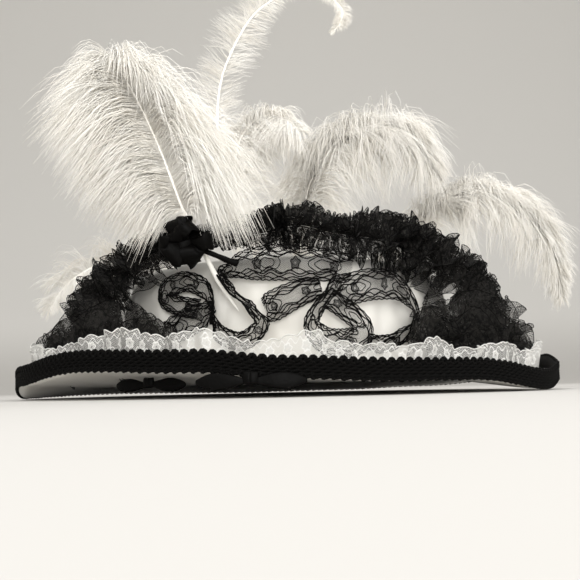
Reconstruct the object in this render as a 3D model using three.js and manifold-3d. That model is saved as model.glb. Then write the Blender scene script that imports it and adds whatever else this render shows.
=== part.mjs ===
// A wide-brim picture hat of white satin with black gimp braid, white and black gathered lace, loops of net
// lace ribbon, ostrich plumes and small bows. Millimetres, +Z up, -Y is the hat's front. It rests on the low
// points of its wavy rim.
import * as THREE from 'three';
import { mergeVertices } from 'three/addons/utils/BufferGeometryUtils.js';
import Module from 'manifold-3d';

const wasm = await Module();
wasm.setup();

const CLEARANCE = 0.3; // gap between pieces that touch
const SMALLEST_DETAIL = 0.15; // cut edges finer than this are smoothed away

// Brim
const HEAD_HALF_WIDTH = 82;
const HEAD_HALF_LENGTH = 98;
const BRIM_RADIUS = 263;
const BRIM_THICKNESS = 2.4;
const BRIM_LEVEL = 11; // underside of the level part round the head opening
const LEVEL_RADIUS = 178;
const BRIM_RINGS = [LEVEL_RADIUS, 206, 236, BRIM_RADIUS];
const BRIM_STEPS = 72;

// Height of the rim's lower edge over the surface that the hat rests on. at: degrees from +X towards the back
const RIM_WAVE = [
  { at: 0, low: 17 },
  { at: 25, low: 9 },
  { at: 50, low: 4 },
  { at: 75, low: 1 },
  { at: 100, low: 0 },
  { at: 140, low: 2 },
  { at: 182, low: 0 },
  { at: 207, low: 12 },
  { at: 232, low: 21 },
  { at: 255, low: 18 },
  { at: 270, low: 12 },
  { at: 288, low: 9 },
  { at: 302, low: 9 },
  { at: 327, low: 0 },
  { at: 343, low: 8 },
  { at: 360, low: 17 },
];

// Braid on edge round the rim
const BRAID_HEIGHT = 19;
const BRAID_THICKNESS = 3;
const BRAID_DROP = 1.5; // how far it hangs below the brim's underside

// Crown
const CROWN_HALF_WIDTH = 168;
const CROWN_HALF_LENGTH = 160;
const CROWN_WALL = 2;
const CROWN_STEPS = 54;
const CROWN_FOLDS = 9;
const CROWN_FOLD_DEPTH = 1.5;
const CROWN_TURN = 90; // mm over the foot where the wall turns in to the top
// up: mm over the crown's foot, share: of its half width at the foot
const CROWN_PROFILE = [
  { up: 0, share: 1 },
  { up: 40, share: 0.985 },
  { up: 75, share: 0.965 },
  { up: 95, share: 0.93 },
  { up: 106, share: 0.86 },
  { up: 112, share: 0.7 },
  { up: 114, share: 0.42 },
];

// White lace behind the braid
const LACE_RADIUS = 248;
const LACE_WALL = 1.2;
const LACE_HEIGHT = 27;
const LACE_GATHERS = 32;
const LACE_STEPS_EACH = 4;
const LACE_WAVE = 3;
const LACE_LEAN = 2;
const LACE_DRIFT = 3; // how far its upper edge rises and falls
const LACE_DRIFT_TURNS = [5, 11]; // waves of that edge round the hat
const LACE_FOOT_GAP = 0.8; // clears the brim's facets

const SATIN_WHITE = { color: 0xd6d3cb, roughness: 0.42, metalness: 0 };
const LACE_WHITE = { color: 0xe4e1d8, roughness: 0.8, metalness: 0 };
const BRAID_BLACK = { color: 0x141312, roughness: 0.75, metalness: 0 };
const LACE_BLACK = { color: 0x1a1918, roughness: 0.85, metalness: 0 };
const SATIN_BLACK = { color: 0x121110, roughness: 0.4, metalness: 0 };
const PLUME_WHITE = { color: 0xe6e1d6, roughness: 0.9, metalness: 0 };

const radians = THREE.MathUtils.degToRad;
const point = (x, y, z) => new THREE.Vector3(x, y, z);
const steps = (count, make) => Array.from({ length: count }, (_, index) => make(index));

// Skins a run of loops, each a closed ring of as many points. The run closes on itself, or its ends get caps.
function skin(loops, closed) {
  const around = loops[0].length;
  const points = loops.flat();
  const faces = [];
  const runs = closed ? loops.length : loops.length - 1;
  for (let row = 0; row < runs; row += 1) {
    const next = (row + 1) % loops.length;
    for (let column = 0; column < around; column += 1) {
      const beside = (column + 1) % around;
      const corners = [row * around + column, row * around + beside, next * around + beside, next * around + column];
      faces.push([corners[0], corners[1], corners[2]], [corners[0], corners[2], corners[3]]);
    }
  }
  if (!closed) {
    for (const row of [0, loops.length - 1]) {
      const centre = points.length;
      points.push(loops[row].reduce((sum, each) => sum.add(each), point(0, 0, 0)).divideScalar(around));
      for (let column = 0; column < around; column += 1) {
        const ends = [row * around + column, row * around + ((column + 1) % around)];
        faces.push(row === 0 ? [ends[1], ends[0], centre] : [ends[0], ends[1], centre]);
      }
    }
  }
  return outward(points, faces);
}

// Makes a geometry of the faces, turned so that they point out.
function outward(points, faces) {
  const sixfold = faces.reduce(
    (sum, [a, b, c]) => sum + points[a].dot(points[b].clone().cross(points[c])), 0);
  const turned = sixfold < 0 ? faces.map(([a, b, c]) => [a, c, b]) : faces;
  const geometry = new THREE.BufferGeometry();
  geometry.setAttribute('position', new THREE.Float32BufferAttribute(points.flatMap((each) => each.toArray()), 3));
  geometry.setIndex(turned.flat());
  return geometry;
}

function toSolid(geometry) {
  const merged = mergeVertices(geometry, 1e-4);
  return new wasm.Manifold(new wasm.Mesh({
    numProp: 3,
    vertProperties: new Float32Array(merged.attributes.position.array),
    triVerts: new Uint32Array(merged.index.array),
  }));
}

function toGeometry(solid) {
  const mesh = solid.getMesh();
  const geometry = new THREE.BufferGeometry();
  geometry.setAttribute('position', new THREE.Float32BufferAttribute(mesh.vertProperties, 3));
  geometry.setIndex(Array.from(mesh.triVerts));
  return geometry;
}

// Cuts a piece clear of its neighbours and keeps its largest part.
function clearOf(geometry, neighbours) {
  let solid = toSolid(geometry);
  for (const neighbour of neighbours) {
    solid = solid.subtract(toSolid(neighbour));
  }
  const parts = solid.decompose().sort((a, b) => b.volume() - a.volume());
  return toGeometry(parts[0].simplify(SMALLEST_DETAIL));
}

// Reads a value off a table between its rows, easing from each row to the next.
function eased(table, key, value, at) {
  const next = Math.max(1, table.findIndex((row) => row[key] >= at));
  const from = table[next - 1];
  const to = table[next];
  const share = (at - from[key]) / (to[key] - from[key]);
  return THREE.MathUtils.lerp(from[value], to[value], (1 - Math.cos(Math.PI * share)) / 2);
}

const PLACES = ['x', 'y', 'z'];

// Reads a table at even steps: the places on a smooth curve through its rows, the other columns eased.
function smoothed(rows, count) {
  return steps(count, (index) => {
    const along = (index / (count - 1)) * (rows.length - 1);
    const from = Math.min(Math.floor(along), rows.length - 2);
    const share = along - from;
    const near = [-1, 0, 1, 2].map((shift) => rows[THREE.MathUtils.clamp(from + shift, 0, rows.length - 1)]);
    return Object.fromEntries(Object.keys(rows[0]).map((name) => {
      const [before, start, end, after] = near.map((row) => row[name]);
      if (!PLACES.includes(name)) {
        return [name, THREE.MathUtils.lerp(start, end, (1 - Math.cos(Math.PI * share)) / 2)];
      }
      const value = 0.5 * (2 * start + (end - before) * share
        + (2 * before - 5 * start + 4 * end - after) * share ** 2
        + (3 * start - before - 3 * end + after) * share ** 3);
      return [name, value];
    }));
  });
}

const rimLow = (degrees) => eased(RIM_WAVE, 'at', 'low', ((degrees % 360) + 360) % 360);

// Underside of the brim: level round the head opening, then easing to the wavy rim.
function underside(radius, degrees) {
  const share = THREE.MathUtils.clamp((radius - LEVEL_RADIUS) / (BRIM_RADIUS - LEVEL_RADIUS), 0, 1);
  return THREE.MathUtils.lerp(BRIM_LEVEL, rimLow(degrees) + BRAID_DROP, share * share * (3 - 2 * share));
}

function brimLoop(halfWidth, halfLength, lift, count) {
  return steps(count, (index) => {
    const degrees = (360 / count) * index;
    const x = halfWidth * Math.cos(radians(degrees));
    const y = halfLength * Math.sin(radians(degrees));
    return point(x, y, underside(Math.hypot(x, y), degrees) + lift);
  });
}

// grow thickens the brim on both faces, so that what lies on it can be cut clear of it.
function brimGeometry(grow = 0) {
  const rings = [[HEAD_HALF_WIDTH, HEAD_HALF_LENGTH], ...BRIM_RINGS.map((radius) => [radius, radius])];
  const top = rings.map(([x, y]) => brimLoop(x, y, BRIM_THICKNESS + grow, BRIM_STEPS));
  const below = rings.map(([x, y]) => brimLoop(x, y, -grow, BRIM_STEPS)).reverse();
  return skin([...top, ...below], true);
}

function braidGeometry() {
  const inner = BRIM_RADIUS + CLEARANCE;
  const outer = inner + BRAID_THICKNESS;
  const loop = (radius, lift) => steps(BRIM_STEPS, (index) => {
    const degrees = (360 / BRIM_STEPS) * index;
    const along = radians(degrees);
    return point(radius * Math.cos(along), radius * Math.sin(along), rimLow(degrees) + lift);
  });
  return skin([loop(inner, 0), loop(outer, 0), loop(outer, BRAID_HEIGHT), loop(inner, BRAID_HEIGHT)], true);
}

// Gathered lace that stands on the brim behind the braid and leans out a little.
function whiteLaceGeometry() {
  const count = LACE_GATHERS * LACE_STEPS_EACH;
  const loop = (offset, top) => steps(count, (index) => {
    const along = (2 * Math.PI * index) / count;
    const degrees = (360 / count) * index;
    const gather = Math.sin(LACE_GATHERS * along);
    const drift = Math.sin(LACE_DRIFT_TURNS[0] * along + 1) + Math.sin(LACE_DRIFT_TURNS[1] * along);
    const radius = LACE_RADIUS + offset + gather * LACE_WAVE + (top ? LACE_LEAN + drift : 0);
    const foot = underside(radius, degrees) + BRIM_THICKNESS + LACE_FOOT_GAP;
    const up = top ? LACE_HEIGHT + LACE_DRIFT * drift : 0;
    return point(radius * Math.cos(along), radius * Math.sin(along), foot + up);
  });
  return skin([loop(0, false), loop(LACE_WALL, false), loop(LACE_WALL, true), loop(0, true)], true);
}

const CROWN_FOOT = BRIM_LEVEL + BRIM_THICKNESS + CLEARANCE;

// One ring of the crown's wall. inset moves it inwards, and the folds are deepest halfway up.
function crownLoop({ up, share }, inset, drop) {
  const depth = CROWN_FOLD_DEPTH * Math.sin((Math.PI * up) / CROWN_PROFILE.at(-1).up);
  return steps(CROWN_STEPS, (index) => {
    const along = (2 * Math.PI * index) / CROWN_STEPS;
    const fold = depth * Math.cos(CROWN_FOLDS * along);
    return point(
      (CROWN_HALF_WIDTH * share - inset + fold) * Math.cos(along),
      (CROWN_HALF_LENGTH * share - inset + fold) * Math.sin(along),
      CROWN_FOOT + up - drop,
    );
  });
}

function crownGeometry() {
  const outer = CROWN_PROFILE.map((row) => crownLoop(row, 0, 0)).reverse();
  const inner = CROWN_PROFILE.map((row) => crownLoop(row, CROWN_WALL, row.up > CROWN_TURN ? CROWN_WALL : 0));
  return skin([...outer, ...inner], false);
}

// The crown filled in and grown, for cutting what lies on it.
function crownBlock() {
  const loops = CROWN_PROFILE.map((row) => crownLoop(row, -CLEARANCE, row.up ? -CLEARANCE : 2 * CLEARANCE));
  return skin(loops, false);
}

// Gathered black lace, a bunch along a path with lobes round it. radius is its half thickness.
const RUFFLES = {
  black_ruffle_top_left: [
    { x: -112, y: -112, z: 137, radius: 19 },
    { x: -78, y: -128, z: 141, radius: 20 },
    { x: -40, y: -138, z: 141, radius: 21 },
    { x: -4, y: -142, z: 145, radius: 23 },
  ],
  black_ruffle_top_right: [
    { x: -2, y: -142, z: 145, radius: 23 },
    { x: 35, y: -139, z: 142, radius: 20 },
    { x: 72, y: -130, z: 144, radius: 23 },
    { x: 108, y: -114, z: 136, radius: 21 },
  ],
  black_ruffle_left_high: [
    { x: -114, y: -112, z: 136, radius: 19 },
    { x: -142, y: -95, z: 117, radius: 24 },
    { x: -174, y: -68, z: 98, radius: 25 },
    { x: -198, y: -30, z: 86, radius: 22 },
  ],
  black_ruffle_right_high: [
    { x: 110, y: -114, z: 135, radius: 21 },
    { x: 140, y: -96, z: 119, radius: 25 },
    { x: 172, y: -70, z: 103, radius: 26 },
    { x: 200, y: -34, z: 88, radius: 22 },
  ],
  black_ruffle_left_low: [
    { x: -212, y: -14, z: 34, radius: 22 },
    { x: -204, y: -56, z: 41, radius: 28 },
    { x: -176, y: -102, z: 44, radius: 29 },
    { x: -140, y: -140, z: 43, radius: 28 },
    { x: -118, y: -160, z: 36, radius: 22 },
  ],
  black_ruffle_right_low: [
    { x: 214, y: -12, z: 34, radius: 21 },
    { x: 206, y: -56, z: 42, radius: 28 },
    { x: 180, y: -98, z: 45, radius: 30 },
    { x: 146, y: -134, z: 44, radius: 29 },
    { x: 122, y: -156, z: 38, radius: 22 },
  ],
};
const RUFFLE_STATIONS = 13;
const RUFFLE_SIDES = 10;
const RUFFLE_LOBE = 0.14;

function tangents(path) {
  return path.map((each, index) => {
    const before = path[Math.max(index - 1, 0)];
    const after = path[Math.min(index + 1, path.length - 1)];
    return after.clone().sub(before).normalize();
  });
}

// Moves a path's two ends out, for a piece that is grown all round.
function lengthen(path, along, grow) {
  path[0].addScaledVector(along[0], -grow);
  path.at(-1).addScaledVector(along.at(-1), grow);
}

function ruffleGeometry(rows, grow = 0) {
  const stations = smoothed(rows, RUFFLE_STATIONS);
  const path = stations.map(({ x, y, z }) => point(x, y, z));
  const along = tangents(path);
  lengthen(path, along, grow);
  const loops = stations.map(({ radius }, row) => {
    const side = point(0, 0, 1).cross(along[row]).normalize();
    const up = along[row].clone().cross(side);
    return steps(RUFFLE_SIDES, (index) => {
      const turn = (2 * Math.PI * index) / RUFFLE_SIDES;
      const lobe = 1 + RUFFLE_LOBE * Math.sin(3 * turn + 1.9 * row);
      const reach = radius * lobe + grow;
      return path[row].clone()
        .addScaledVector(side, reach * Math.cos(turn))
        .addScaledVector(up, reach * Math.sin(turn));
    });
  });
  return skin(loops, false);
}

// Net lace ribbon on the crown's front. x and z place its middle line, out is its distance from the crown,
// half is its half width, and turn tips its width from flat on the crown (0) to edge on (90).
const RIBBONS = {
  lace_ribbon_top: [
    { x: 42, z: 110, out: 6, half: 13, turn: 15 },
    { x: 20, z: 112, out: 10, half: 16, turn: 5 },
    { x: -10, z: 113, out: 12, half: 17, turn: 0 },
    { x: -38, z: 112, out: 12, half: 16, turn: -10 },
    { x: -56, z: 104, out: 9, half: 10, turn: -50 },
  ],
  lace_ribbon_drop: [
    { x: -56, z: 98, out: 14, half: 8, turn: 80 },
    { x: -46, z: 84, out: 16, half: 8, turn: 80 },
    { x: -32, z: 72, out: 18, half: 8, turn: 75 },
    { x: -22, z: 60, out: 18, half: 9, turn: 50 },
    { x: -30, z: 50, out: 16, half: 10, turn: 20 },
    { x: -50, z: 52, out: 13, half: 9, turn: 20 },
    { x: -62, z: 64, out: 10, half: 8, turn: 60 },
  ],
  lace_ribbon_left: [
    { x: -68, z: 96, out: 8, half: 11, turn: 10 },
    { x: -92, z: 90, out: 10, half: 14, turn: 0 },
    { x: -114, z: 80, out: 1, half: 13, turn: 0 },
  ],
  lace_ribbon_left_loop: [
    { x: -106, z: 58, out: 1, half: 10, turn: 0 },
    { x: -84, z: 66, out: 9, half: 13, turn: 0 },
    { x: -68, z: 76, out: 8, half: 9, turn: 20 },
  ],
  lace_ribbon_tail: [
    { x: -16, z: 74, out: 8, half: 12, turn: 0 },
    { x: 6, z: 84, out: 9, half: 13, turn: 0 },
    { x: 28, z: 93, out: 1, half: 10, turn: 0 },
  ],
  lace_ribbon_centre_loop: [
    { x: 44, z: 94, out: 1, half: 9, turn: 0 },
    { x: 28, z: 74, out: 16, half: 9, turn: 40 },
    { x: 24, z: 54, out: 16, half: 10.5, turn: 20 },
    { x: 42, z: 43, out: 16, half: 12, turn: 10 },
    { x: 62, z: 50, out: 14, half: 10, turn: 30 },
  ],
  lace_ribbon_right_loop: [
    { x: 58, z: 92, out: 10, half: 10, turn: 20 },
    { x: 84, z: 92, out: 12, half: 12, turn: 10 },
    { x: 105, z: 75, out: 12, half: 9, turn: 40 },
    { x: 99, z: 56, out: 12, half: 8, turn: 45 },
    { x: 76, z: 42, out: 2, half: 8, turn: 5 },
  ],
};
const RIBBON_STATIONS = 36;
const RIBBON_WALL = 1.2;

// The crown's front wall at one place: y of its surface.
function crownFront(x, z) {
  const up = THREE.MathUtils.clamp(z - CROWN_FOOT, 0, CROWN_PROFILE.at(-1).up);
  const share = eased(CROWN_PROFILE, 'up', 'share', up);
  const across = Math.min(Math.abs(x) / (CROWN_HALF_WIDTH * share), 0.98);
  return -CROWN_HALF_LENGTH * share * Math.sqrt(1 - across * across);
}

function ribbonGeometry(rows, grow = 0) {
  const stations = smoothed(rows, RIBBON_STATIONS);
  const path = stations.map(({ x, z, out }) => point(x, crownFront(x, z) - out, z));
  const along = tangents(path);
  lengthen(path, along, grow);
  const loops = stations.map(({ half, turn }, row) => {
    const out = point(path[row].x / CROWN_HALF_WIDTH, path[row].y / CROWN_HALF_LENGTH, 0);
    out.addScaledVector(along[row], -out.dot(along[row])).normalize();
    const flat = along[row].clone().cross(out);
    const width = flat.clone().multiplyScalar(Math.cos(radians(turn))).addScaledVector(out, Math.sin(radians(turn)));
    const thick = along[row].clone().cross(width);
    const corner = (w, t) => path[row].clone()
      .addScaledVector(width, w * (half + grow))
      .addScaledVector(thick, t * (RIBBON_WALL / 2 + grow));
    return [corner(-1, -1), corner(1, -1), corner(1, 1), corner(-1, 1)];
  });
  return skin(loops, false);
}

// Ostrich plumes. x, y, z place the shaft, left and right are the vane's reach on either side of it, hang is
// how far the vane's edges droop, and thick is its half thickness. The first rows are the bare shaft.
const PLUMES = {
  plume_front: {
    facing: [0, -1, 0.15],
    rows: [
      { x: -40, y: -189, z: 72, left: 1, right: 1, hang: 0, thick: 1 },
      { x: -58, y: -183, z: 100, left: 2, right: 2, hang: 0, thick: 2 },
      { x: -80, y: -175, z: 144, left: 2.5, right: 2.5, hang: 0, thick: 2.5 },
      { x: -89, y: -172, z: 168, left: 48, right: 44, hang: 12, thick: 6 },
      { x: -97, y: -170, z: 190, left: 78, right: 78, hang: 34, thick: 9 },
      { x: -106, y: -168, z: 214, left: 92, right: 84, hang: 42, thick: 10 },
      { x: -118, y: -170, z: 242, left: 84, right: 64, hang: 26, thick: 9 },
      { x: -130, y: -174, z: 266, left: 60, right: 44, hang: 16, thick: 7 },
      { x: -140, y: -180, z: 284, left: 24, right: 22, hang: 6, thick: 4 },
    ],
  },
  plume_left: {
    facing: [0, -1, 0.5],
    rows: [
      { x: -104, y: 34, z: 128, left: 2, right: 2, hang: 0, thick: 2 },
      { x: -140, y: 48, z: 146, left: 14, right: 18, hang: 0, thick: 6 },
      { x: -180, y: 58, z: 152, left: 26, right: 26, hang: 8, thick: 8 },
      { x: -220, y: 64, z: 142, left: 28, right: 26, hang: 10, thick: 8 },
      { x: -248, y: 66, z: 122, left: 22, right: 20, hang: 8, thick: 6 },
      { x: -262, y: 67, z: 100, left: 8, right: 8, hang: 2, thick: 3 },
    ],
  },
  plume_hood: {
    facing: [0, -1, 0.2],
    rows: [
      { x: -22, y: 0, z: 128, left: 2, right: 2, hang: 0, thick: 2 },
      { x: -34, y: 10, z: 180, left: 22, right: 22, hang: 4, thick: 7 },
      { x: -42, y: 16, z: 232, left: 26, right: 30, hang: 6, thick: 8 },
      { x: -36, y: 18, z: 276, left: 26, right: 34, hang: 6, thick: 8 },
      { x: -14, y: 12, z: 302, left: 16, right: 34, hang: 4, thick: 7 },
      { x: 12, y: 2, z: 300, left: 14, right: 22, hang: 2, thick: 5 },
      { x: 28, y: -6, z: 284, left: 6, right: 8, hang: 0, thick: 3 },
    ],
  },
  plume_centre: {
    facing: [0, -1, 0.35],
    rows: [
      { x: 34, y: 24, z: 128, left: 2, right: 2, hang: 0, thick: 2 },
      { x: 44, y: 36, z: 178, left: 34, right: 40, hang: 6, thick: 8 },
      { x: 58, y: 44, z: 226, left: 46, right: 60, hang: 20, thick: 10 },
      { x: 82, y: 48, z: 266, left: 50, right: 64, hang: 34, thick: 11 },
      { x: 116, y: 46, z: 288, left: 38, right: 66, hang: 30, thick: 11 },
      { x: 150, y: 40, z: 284, left: 30, right: 54, hang: 18, thick: 9 },
      { x: 174, y: 34, z: 262, left: 22, right: 30, hang: 8, thick: 6 },
      { x: 184, y: 30, z: 238, left: 8, right: 8, hang: 2, thick: 3 },
    ],
  },
  plume_right: {
    facing: [0, -1, 0.35],
    rows: [
      { x: 88, y: 62, z: 128, left: 2, right: 2, hang: 0, thick: 2 },
      { x: 128, y: 76, z: 164, left: 18, right: 22, hang: 2, thick: 7 },
      { x: 176, y: 84, z: 200, left: 34, right: 48, hang: 12, thick: 10 },
      { x: 222, y: 84, z: 214, left: 34, right: 62, hang: 26, thick: 11 },
      { x: 260, y: 80, z: 198, left: 34, right: 62, hang: 22, thick: 11 },
      { x: 286, y: 74, z: 160, left: 26, right: 52, hang: 12, thick: 9 },
      { x: 296, y: 70, z: 118, left: 16, right: 24, hang: 4, thick: 6 },
      { x: 294, y: 68, z: 90, left: 6, right: 6, hang: 0, thick: 3 },
    ],
  },
  plume_tall: {
    facing: [0, -1, 0.1],
    rows: [
      { x: -44, y: 62, z: 128, left: 2, right: 2, hang: 0, thick: 2 },
      { x: -62, y: 76, z: 214, left: 12, right: 12, hang: 2, thick: 4 },
      { x: -66, y: 86, z: 300, left: 22, right: 22, hang: 4, thick: 5 },
      { x: -54, y: 94, z: 366, left: 22, right: 22, hang: 4, thick: 5 },
      { x: -32, y: 99, z: 420, left: 20, right: 20, hang: 4, thick: 5 },
      { x: 0, y: 101, z: 460, left: 18, right: 18, hang: 4, thick: 5 },
      { x: 34, y: 100, z: 472, left: 16, right: 16, hang: 4, thick: 5 },
      { x: 58, y: 97, z: 452, left: 14, right: 14, hang: 2, thick: 4 },
      { x: 64, y: 94, z: 424, left: 5, right: 5, hang: 0, thick: 2 },
    ],
  },
};
const PLUME_STATIONS = 18;
const PLUME_SECTION = [-1, -0.62, 0, 0.62];

function plumeGeometry({ facing, rows }, grow = 0) {
  const stations = smoothed(rows, PLUME_STATIONS);
  const path = stations.map(({ x, y, z }) => point(x, y, z));
  const along = tangents(path);
  lengthen(path, along, grow);
  const loops = stations.map(({ left, right, hang, thick }, row) => {
    const side = along[row].clone().cross(new THREE.Vector3(...facing)).normalize();
    const front = side.clone().cross(along[row]).normalize();
    const place = (share, face) => {
      const reach = (share > 0 ? right : left) * share + Math.sign(share) * grow;
      const bulge = face * (thick * Math.sqrt(1 - share * share) + grow);
      return path[row].clone()
        .addScaledVector(side, -reach)
        .addScaledVector(front, bulge)
        .add(point(0, 0, -hang * share * share));
    };
    const near = PLUME_SECTION.map((share) => place(share, 1));
    const far = PLUME_SECTION.map((share) => place(-share, -1));
    return [...near, ...far];
  });
  return skin(loops, false);
}

// Black satin knot that binds the front plume's shaft to the crown's edge.
const KNOT = { x: -74, y: -166, z: 127, halfWidth: 21, halfDepth: 15, halfHeight: 22 };
const KNOT_SIDES = 14;
const KNOT_RINGS = 9;
const KNOT_LOBE = 0.1;

function knotGeometry() {
  const loops = steps(KNOT_RINGS, (row) => {
    const tilt = (Math.PI * (row + 0.5)) / KNOT_RINGS;
    return steps(KNOT_SIDES, (index) => {
      const turn = (2 * Math.PI * index) / KNOT_SIDES;
      const lobe = Math.sin(tilt) * (1 + KNOT_LOBE * Math.sin(4 * turn + row));
      return point(
        KNOT.x + KNOT.halfWidth * lobe * Math.cos(turn),
        KNOT.y + KNOT.halfDepth * lobe * Math.sin(turn),
        KNOT.z + KNOT.halfHeight * Math.cos(tilt),
      );
    });
  });
  return skin(loops, false);
}

// Flat bows. across runs from end to end, up and down are the outline's heights over and under its middle.
const BOW_OUTLINE = [
  { across: -1, up: 0.3, down: 0.45 },
  { across: -0.7, up: 0.75, down: 1 },
  { across: -0.3, up: 0.45, down: 0.6 },
  { across: -0.1, up: 0.8, down: 0.7 },
  { across: 0.1, up: 0.8, down: 0.7 },
  { across: 0.3, up: 0.45, down: 0.6 },
  { across: 0.7, up: 0.7, down: 1 },
  { across: 1, up: 0.3, down: 0.45 },
];
const BOWS = {
  bow_front: { x: -26, z: 14.5, halfWidth: 38, halfHeight: 8, thickness: 4, radius: 266.6 },
  bow_left: { x: -108, z: 13, halfWidth: 32, halfHeight: 7, thickness: 4, radius: 232 },
};

// A bow stands on edge, bent round the hat at its radius.
function bowGeometry({ x, z, halfWidth, halfHeight, thickness, radius }) {
  const middle = Math.asin(x / radius);
  const loops = BOW_OUTLINE.map(({ across, up, down }) => {
    const turn = middle + (across * halfWidth) / radius;
    const corner = (reach, height) => point(reach * Math.sin(turn), -reach * Math.cos(turn), z + height * halfHeight);
    return [
      corner(radius, -down), corner(radius + thickness, -down),
      corner(radius + thickness, up), corner(radius, up),
    ];
  });
  return skin(loops, false);
}

function named(name, geometry, look) {
  const mesh = new THREE.Mesh(geometry, new THREE.MeshStandardMaterial(look));
  mesh.name = name;
  return mesh;
}

// Meshes of a table of pieces, each cut clear of its neighbours and of the pieces before it in the table.
function family(table, make, neighbours, look) {
  const done = [];
  return Object.entries(table).map(([name, rows]) => {
    const mesh = named(name, clearOf(make(rows), [...neighbours, ...done]), look);
    done.push(make(rows, CLEARANCE));
    return mesh;
  });
}

const hat = new THREE.Group();
const ground = [crownBlock(), brimGeometry(CLEARANCE)];
const plumeBlocks = Object.values(PLUMES).map((plume) => plumeGeometry(plume, CLEARANCE));
const ruffleBlocks = Object.values(RUFFLES).map((rows) => ruffleGeometry(rows, CLEARANCE));

hat.add(named('brim', brimGeometry(), SATIN_WHITE));
hat.add(named('crown', crownGeometry(), SATIN_WHITE));
hat.add(named('gimp_band', braidGeometry(), BRAID_BLACK));
hat.add(named('white_lace_edging', whiteLaceGeometry(), LACE_WHITE));
hat.add(...family(RUFFLES, ruffleGeometry, [...ground, ...plumeBlocks], LACE_BLACK));
hat.add(named('satin_knot', clearOf(knotGeometry(), [...ground, ...ruffleBlocks, plumeBlocks[0]]), SATIN_BLACK));
hat.add(...family(RIBBONS, ribbonGeometry, [...ground, ...ruffleBlocks, ...plumeBlocks, knotGeometry()], LACE_BLACK));
hat.add(...family(PLUMES, plumeGeometry, ground, PLUME_WHITE));
for (const [name, bow] of Object.entries(BOWS)) {
  hat.add(named(name, clearOf(bowGeometry(bow), [ground[1]]), SATIN_BLACK));
}

// The origin is under the middle of the hat's box.
const box = new THREE.Box3().setFromObject(hat);
hat.position.set(-(box.min.x + box.max.x) / 2, -(box.min.y + box.max.y) / 2, -box.min.z);

const root = new THREE.Group();
root.add(hat);
export default root;
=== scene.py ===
"""A wide-brim picture hat of white satin with black braid, lace, net ribbon and ostrich plumes."""
import math

import bmesh
import bpy
import numpy as np
from mathutils import Matrix, Vector


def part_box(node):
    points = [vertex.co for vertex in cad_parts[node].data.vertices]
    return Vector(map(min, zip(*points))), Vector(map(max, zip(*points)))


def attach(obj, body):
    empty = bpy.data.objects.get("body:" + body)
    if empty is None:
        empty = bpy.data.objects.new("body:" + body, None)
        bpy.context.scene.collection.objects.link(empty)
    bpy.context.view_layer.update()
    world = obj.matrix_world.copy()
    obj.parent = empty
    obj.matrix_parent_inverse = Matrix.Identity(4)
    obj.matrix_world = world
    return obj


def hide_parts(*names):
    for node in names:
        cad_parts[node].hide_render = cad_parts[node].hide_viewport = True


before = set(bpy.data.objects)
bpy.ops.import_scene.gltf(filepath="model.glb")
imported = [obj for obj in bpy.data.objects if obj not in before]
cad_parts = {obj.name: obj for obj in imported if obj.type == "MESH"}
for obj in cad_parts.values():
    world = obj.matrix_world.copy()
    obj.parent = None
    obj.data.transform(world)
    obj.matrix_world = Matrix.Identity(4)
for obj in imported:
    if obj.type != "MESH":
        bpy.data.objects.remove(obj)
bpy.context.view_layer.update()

# Camera. It stands in front of the hat, just above the floor, and looks up a little at the raised front
# of the brim. The crown's middle is the hat's own axis, and every place below is measured from it.
crown_low, crown_high = (np.array(corner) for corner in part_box("crown"))
HAT = np.array([*(crown_low + crown_high)[:2] / 2, 0.0])
MM = 0.001
PICTURE_SIDE = 580
FOCAL_PIXELS = 857
SENSOR_MM = 36
CAMERA_ASIDE = 2 * MM
CAMERA_BACK = 884 * MM
CAMERA_HEIGHT = 8 * MM
CAMERA_UP_DEGREES = 6.4
CAMERA_ROLL_DEGREES = 1.2

camera_data = bpy.data.cameras.new("camera")
camera_data.sensor_width = SENSOR_MM
camera_data.lens = FOCAL_PIXELS / PICTURE_SIDE * SENSOR_MM
camera_data.clip_start = 0.02
camera = bpy.data.objects.new("camera", camera_data)
bpy.context.scene.collection.objects.link(camera)
bpy.context.scene.camera = camera
camera.location = HAT + (CAMERA_ASIDE, -CAMERA_BACK, CAMERA_HEIGHT)
look_up = Matrix.Rotation(math.radians(90 + CAMERA_UP_DEGREES), 4, "X")
roll = Matrix.Rotation(math.radians(CAMERA_ROLL_DEGREES), 4, "Y")
camera.rotation_euler = (roll @ look_up).to_euler()


# Studio. A pale floor that curves up into a backdrop, a large soft light from the upper left, a weaker
# one from the right, one behind, and a low one in front that reaches under the brim.
def math_node(operation):
    """A method of Wire that adds a Math node for the wire and another value."""
    return lambda wire, other: wire.maths(operation, wire, other)


class Wire:
    """A shader socket. Sums and products of wires and numbers add Math nodes."""

    def __init__(self, finish, socket):
        self.finish = finish
        self.socket = socket

    def maths(self, operation, *values):
        return self.finish.add("ShaderNodeMath", *values, operation=operation)

    def __rsub__(self, other):
        return self.maths("SUBTRACT", other, self)

    __add__ = __radd__ = math_node("ADD")
    __sub__ = math_node("SUBTRACT")
    __mul__ = __rmul__ = math_node("MULTIPLY")
    __truediv__ = math_node("DIVIDE")
    __pow__ = math_node("POWER")
    __lt__ = math_node("LESS_THAN")
    __gt__ = math_node("GREATER_THAN")
    larger = math_node("MAXIMUM")
    smaller = math_node("MINIMUM")

    def size(self):
        return self.maths("ABSOLUTE", self)

    def wave(self, turns=2 * math.pi):
        return self.maths("SINE", self * turns)

    def cell(self):
        """The distance from the middle of each cell of size 1, from -0.5 to 0.5."""
        return self.maths("FRACT", self) - 0.5

    def eased(self, low, high):
        """0 below low and 1 above high, with a soft step between."""
        return self.finish.add(
            "ShaderNodeMapRange", self, low, high, 0.0, 1.0, interpolation_type="SMOOTHSTEP")


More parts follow.
